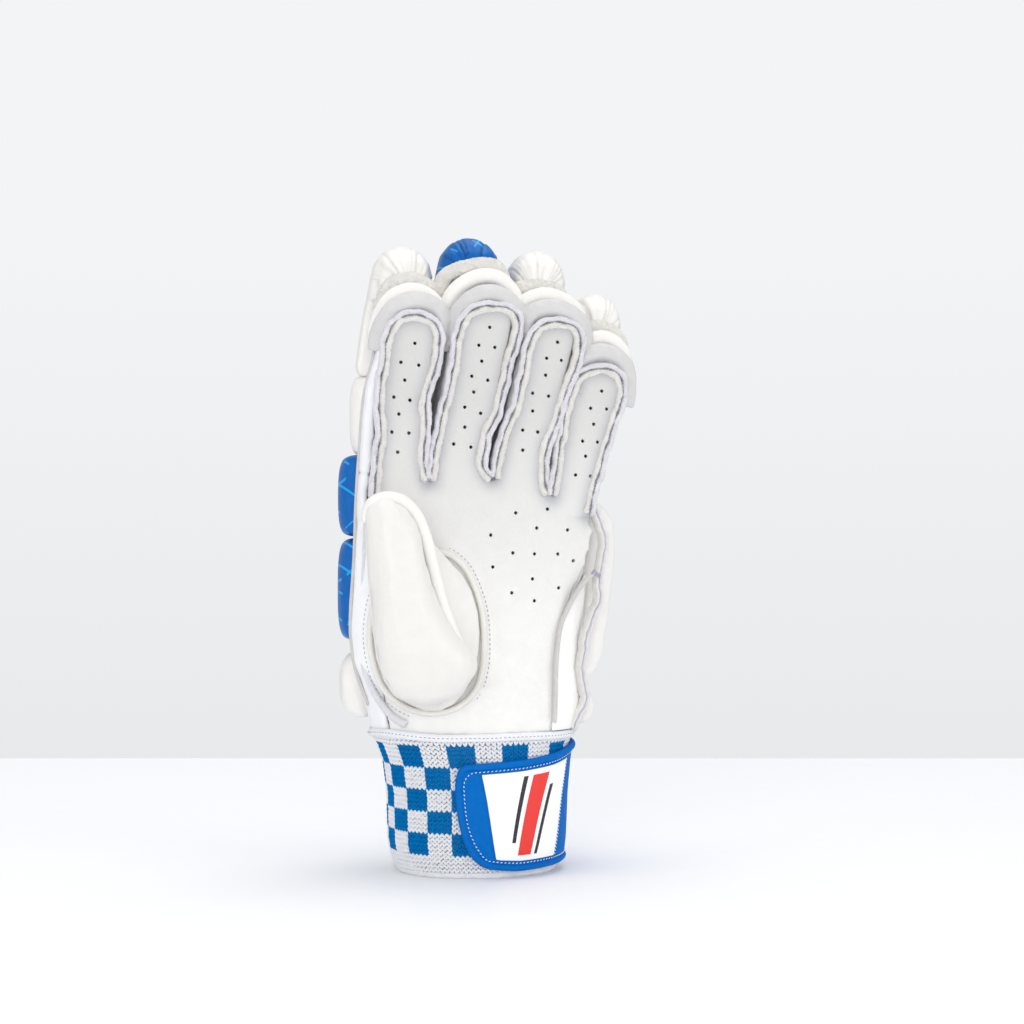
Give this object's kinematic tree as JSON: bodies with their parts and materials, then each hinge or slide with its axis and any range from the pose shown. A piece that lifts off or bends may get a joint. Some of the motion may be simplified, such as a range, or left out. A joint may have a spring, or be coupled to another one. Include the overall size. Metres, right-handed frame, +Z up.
{
  "type": "cricket batting glove, left hand",
  "caption": "Left-hand cricket batting glove standing on its knitted cuff, with padded finger rolls, leather palm, padded thumb and a wrist strap.",
  "frame": {"origin": "centre of the bounding box's footprint, on the surface under the cuff", "axes": "+Z up along the fingers, the palm faces -Y, the thumb lies towards -X"},
  "size_m": [0.133, 0.0898, 0.285],
  "materials": {
    "palm_leather": "soft matt sheepskin, fine grain",
    "grey_leather": "soft matt, light grey",
    "seam_suede": "raw suede edge",
    "white_padding": "coated, satin",
    "blue_padding": "coated, satin",
    "back_cloth": "matt woven",
    "cuff_knit": "knitted, white with a blue check",
    "cuff_rib": "fine rib",
    "strap_fabric": "woven, satin",
    "label_film": "smooth satin film"
  },
  "bodies": {
    "root": {"palm_leather": "palm_leather", "hand_gusset": "back_cloth", "finger_gusset_index": "back_cloth", "finger_gusset_middle": "back_cloth", "finger_gusset_ring": "back_cloth", "finger_gusset_little": "back_cloth", "back_cloth": "back_cloth", "index_seam": "seam_suede", "tip_wrap_index": "grey_leather", "tip_roll_index": "white_padding", "cap_index": "white_padding", "finger_roll_index": "white_padding", "knuckle_bar_index": "blue_padding", "back_bar_index": "blue_padding", "middle_seam": "seam_suede", "tip_wrap_middle": "grey_leather", "tip_roll_middle": "white_padding", "cap_middle": "blue_padding", "finger_roll_middle": "white_padding", "knuckle_bar_middle": "blue_padding", "back_bar_middle": "blue_padding", "ring_seam": "seam_suede", "tip_wrap_ring": "grey_leather", "tip_roll_ring": "white_padding", "cap_ring": "white_padding", "finger_roll_ring": "white_padding", "knuckle_bar_ring": "blue_padding", "back_bar_ring": "blue_padding", "little_seam": "seam_suede", "tip_wrap_little": "grey_leather", "tip_roll_little": "white_padding", "cap_little": "white_padding", "finger_roll_little": "white_padding", "knuckle_bar_little": "blue_padding", "back_bar_little": "blue_padding", "wrist_roll": "white_padding", "side_pad_upper": "white_padding", "side_pad_lower": "white_padding", "heel_patch": "palm_leather", "heel_welt": "grey_leather", "side_welt": "seam_suede", "thumb_pad": "white_padding", "thumb_stall": "palm_leather", "thumb_piping": "grey_leather", "thumb_rim": "grey_leather", "cuff": "cuff_knit", "cuff_hem": "cuff_rib", "strap": "strap_fabric", "strap_label": "label_film", "strap_piping": "strap_fabric"}
  },
  "joints": []
}
